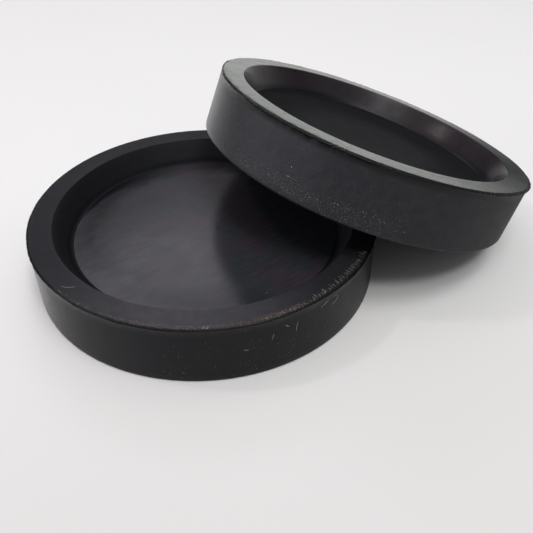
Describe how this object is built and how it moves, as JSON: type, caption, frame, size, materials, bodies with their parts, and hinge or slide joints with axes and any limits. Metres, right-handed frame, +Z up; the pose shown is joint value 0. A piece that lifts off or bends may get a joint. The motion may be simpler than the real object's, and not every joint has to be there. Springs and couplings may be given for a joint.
{
  "type": "magdeburg hemisphere pair",
  "caption": "Pair of flat moulded rubber discs with shallow round recesses, for showing air pressure; one lies flat and the other leans on its rim.",
  "frame": {"origin": "middle of the flat underside of the lower disc, on the surface that both discs stand on", "axes": "+Z up along the lower disc's axis; the second disc leans down towards +X, and the pair is symmetric about the XZ plane"},
  "size_m": [0.1165, 0.075, 0.0375],
  "materials": {
    "black_rubber": "satin moulded rubber, dusty at the rim"
  },
  "bodies": {
    "lower": {"lower_disc": "black_rubber"},
    "leaning": {"leaning_disc": "black_rubber"}
  },
  "joints": [
    {"name": "lift_off", "type": "slide", "parent": "lower", "child": "leaning", "axis": [0, 0, 1], "range_m": [0, 0.12]}
  ]
}
